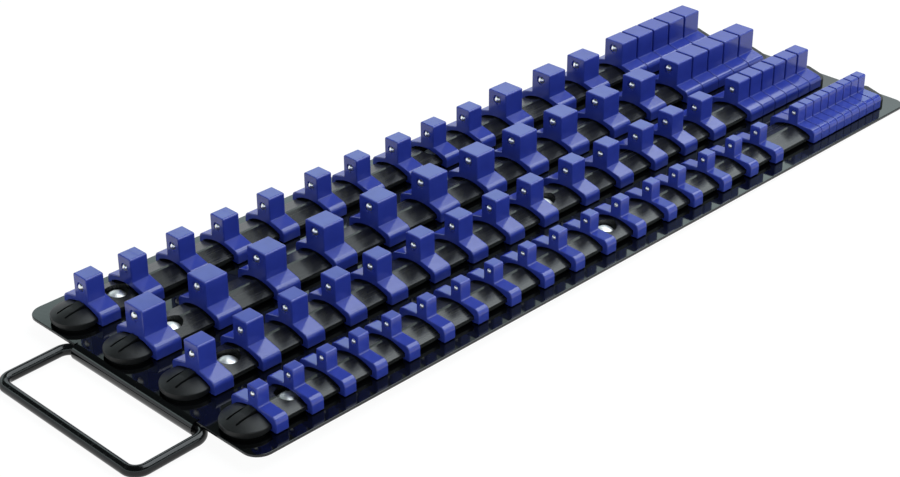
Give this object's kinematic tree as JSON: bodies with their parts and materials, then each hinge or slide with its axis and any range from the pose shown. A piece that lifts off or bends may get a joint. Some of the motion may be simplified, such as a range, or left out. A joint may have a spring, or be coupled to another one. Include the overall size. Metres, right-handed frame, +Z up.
{
  "type": "socket organizer tray",
  "caption": "Flat steel socket tray with slotted rails, sliding square-drive clips that hold sockets by detent balls, and a folding wire handle.",
  "frame": {"origin": "middle of the flat sheet's underside", "axes": "+Y along the tray, away from the handle; +X to the right seen from the handle's end; +Z up, out of the posts' tops"},
  "size_m": [0.159, 0.4992, 0.0291],
  "materials": {
    "black_gloss_paint": "mirror-gloss black paint on sheet steel",
    "black_wire_coating": "satin black dip coating on steel wire",
    "black_rail_plastic": "satin moulded plastic, black",
    "blue_plastic": "glossy moulded plastic, deep blue",
    "ball_chrome": "polished bearing steel",
    "bright_rivet": "bright plated rivet head",
    "spring_steel": "drawn spring wire"
  },
  "bodies": {
    "tray": {"tray": "black_gloss_paint", "rail_1": "black_rail_plastic", "rail_2": "black_rail_plastic", "rail_3": "black_rail_plastic", "rail_4": "black_rail_plastic", "front_end_cap_1": "black_rail_plastic", "front_end_cap_2": "black_rail_plastic", "front_end_cap_3": "black_rail_plastic", "front_end_cap_4": "black_rail_plastic", "rear_end_cap_1": "black_rail_plastic", "rear_end_cap_2": "black_rail_plastic", "rear_end_cap_3": "black_rail_plastic", "rear_end_cap_4": "black_rail_plastic", "rivets": "bright_rivet"},
    "handle": {"handle": "black_wire_coating"},
    "clip_1_01": {"clip_1_01": "blue_plastic", "spring_1_01": "spring_steel"},
    "ball_1_01": {"ball_1_01": "ball_chrome"},
    "clips_1_02_05": {"clips_1_02_05": "blue_plastic", "balls_1_02_05": "ball_chrome"},
    "clips_1_06_10": {"clips_1_06_10": "blue_plastic", "balls_1_06_10": "ball_chrome"},
    "clips_1_11_13": {"clips_1_11_13": "blue_plastic", "balls_1_11_13": "ball_chrome"},
    "clips_1_14_18": {"clips_1_14_18": "blue_plastic", "balls_1_14_18": "ball_chrome"},
    "clip_2_01": {"clip_2_01": "blue_plastic", "spring_2_01": "spring_steel"},
    "ball_2_01": {"ball_2_01": "ball_chrome"},
    "clips_2_02_04": {"clips_2_02_04": "blue_plastic", "balls_2_02_04": "ball_chrome"},
    "clips_2_05_08": {"clips_2_05_08": "blue_plastic", "balls_2_05_08": "ball_chrome"},
    "clips_2_09_11": {"clips_2_09_11": "blue_plastic", "balls_2_09_11": "ball_chrome"},
    "clips_2_12_16": {"clips_2_12_16": "blue_plastic", "balls_2_12_16": "ball_chrome"},
    "clip_3_01": {"clip_3_01": "blue_plastic", "spring_3_01": "spring_steel"},
    "ball_3_01": {"ball_3_01": "ball_chrome"},
    "clips_3_02_05": {"clips_3_02_05": "blue_plastic", "balls_3_02_05": "ball_chrome"},
    "clips_3_06_09": {"clips_3_06_09": "blue_plastic", "balls_3_06_09": "ball_chrome"},
    "clips_3_10_14": {"clips_3_10_14": "blue_plastic", "balls_3_10_14": "ball_chrome"},
    "clips_3_15_20": {"clips_3_15_20": "blue_plastic", "balls_3_15_20": "ball_chrome"},
    "clip_4_01": {"clip_4_01": "blue_plastic", "spring_4_01": "spring_steel"},
    "ball_4_01": {"ball_4_01": "ball_chrome"},
    "clips_4_02_06": {"clips_4_02_06": "blue_plastic", "balls_4_02_06": "ball_chrome"},
    "clips_4_07_11": {"clips_4_07_11": "blue_plastic", "balls_4_07_11": "ball_chrome"},
    "clips_4_12_17": {"clips_4_12_17": "blue_plastic", "balls_4_12_17": "ball_chrome"},
    "clips_4_18_26": {"clips_4_18_26": "blue_plastic", "balls_4_18_26": "ball_chrome"}
  },
  "joints": [
    {"name": "handle_hinge", "type": "hinge", "parent": "tray", "child": "handle", "pos_m": [0, -0.2293, -0.0027], "axis": [1, 0, 0], "range_deg": [-4, 176]},
    {"name": "clip_1_01_slide", "type": "slide", "parent": "tray", "child": "clip_1_01", "axis": [0, 1, 0], "range_m": [0, 0.0062]},
    {"name": "ball_1_01_press", "type": "slide", "parent": "clip_1_01", "child": "ball_1_01", "axis": [0, 1, 0], "range_m": [0, 0.0007], "stiffness_N_per_m": 2000, "springref_m": -0.0005, "deforming": ["spring_1_01"]},
    {"name": "clips_1_02_05_slide", "type": "slide", "parent": "tray", "child": "clips_1_02_05", "axis": [0, 1, 0], "range_m": [-0.0062, 0.0092]},
    {"name": "clips_1_06_10_slide", "type": "slide", "parent": "tray", "child": "clips_1_06_10", "axis": [0, 1, 0], "range_m": [-0.0092, 0.0072]},
    {"name": "clips_1_11_13_slide", "type": "slide", "parent": "tray", "child": "clips_1_11_13", "axis": [0, 1, 0], "range_m": [-0.0072, 0.0086]},
    {"name": "clips_1_14_18_slide", "type": "slide", "parent": "tray", "child": "clips_1_14_18", "axis": [0, 1, 0], "range_m": [-0.0086, 0]},
    {"name": "clip_2_01_slide", "type": "slide", "parent": "tray", "child": "clip_2_01", "axis": [0, 1, 0], "range_m": [0, 0.0096]},
    {"name": "ball_2_01_press", "type": "slide", "parent": "clip_2_01", "child": "ball_2_01", "axis": [0, 1, 0], "range_m": [0, 0.0008], "stiffness_N_per_m": 2000, "springref_m": -0.0005, "deforming": ["spring_2_01"]},
    {"name": "clips_2_02_04_slide", "type": "slide", "parent": "tray", "child": "clips_2_02_04", "axis": [0, 1, 0], "range_m": [-0.0096, 0.0096]},
    {"name": "clips_2_05_08_slide", "type": "slide", "parent": "tray", "child": "clips_2_05_08", "axis": [0, 1, 0], "range_m": [-0.0096, 0.0081]},
    {"name": "clips_2_09_11_slide", "type": "slide", "parent": "tray", "child": "clips_2_09_11", "axis": [0, 1, 0], "range_m": [-0.0081, 0.0081]},
    {"name": "clips_2_12_16_slide", "type": "slide", "parent": "tray", "child": "clips_2_12_16", "axis": [0, 1, 0], "range_m": [-0.0081, 0]},
    {"name": "clip_3_01_slide", "type": "slide", "parent": "tray", "child": "clip_3_01", "axis": [0, 1, 0], "range_m": [0, 0.0073]},
    {"name": "ball_3_01_press", "type": "slide", "parent": "clip_3_01", "child": "ball_3_01", "axis": [0, 1, 0], "range_m": [0, 0.0007], "stiffness_N_per_m": 2000, "springref_m": -0.0005, "deforming": ["spring_3_01"]},
    {"name": "clips_3_02_05_slide", "type": "slide", "parent": "tray", "child": "clips_3_02_05", "axis": [0, 1, 0], "range_m": [-0.0073, 0.0078]},
    {"name": "clips_3_06_09_slide", "type": "slide", "parent": "tray", "child": "clips_3_06_09", "axis": [0, 1, 0], "range_m": [-0.0078, 0.0093]},
    {"name": "clips_3_10_14_slide", "type": "slide", "parent": "tray", "child": "clips_3_10_14", "axis": [0, 1, 0], "range_m": [-0.0093, 0.0103]},
    {"name": "clips_3_15_20_slide", "type": "slide", "parent": "tray", "child": "clips_3_15_20", "axis": [0, 1, 0], "range_m": [-0.0103, 0]},
    {"name": "clip_4_01_slide", "type": "slide", "parent": "tray", "child": "clip_4_01", "axis": [0, 1, 0], "range_m": [0, 0.0058]},
    {"name": "ball_4_01_press", "type": "slide", "parent": "clip_4_01", "child": "ball_4_01", "axis": [0, 1, 0], "range_m": [0, 0.0005], "stiffness_N_per_m": 2000, "springref_m": -0.0005, "deforming": ["spring_4_01"]},
    {"name": "clips_4_02_06_slide", "type": "slide", "parent": "tray", "child": "clips_4_02_06", "axis": [0, 1, 0], "range_m": [-0.0058, 0.0068]},
    {"name": "clips_4_07_11_slide", "type": "slide", "parent": "tray", "child": "clips_4_07_11", "axis": [0, 1, 0], "range_m": [-0.0068, 0.0073]},
    {"name": "clips_4_12_17_slide", "type": "slide", "parent": "tray", "child": "clips_4_12_17", "axis": [0, 1, 0], "range_m": [-0.0073, 0.0128]},
    {"name": "clips_4_18_26_slide", "type": "slide", "parent": "tray", "child": "clips_4_18_26", "axis": [0, 1, 0], "range_m": [-0.0128, 0]}
  ]
}
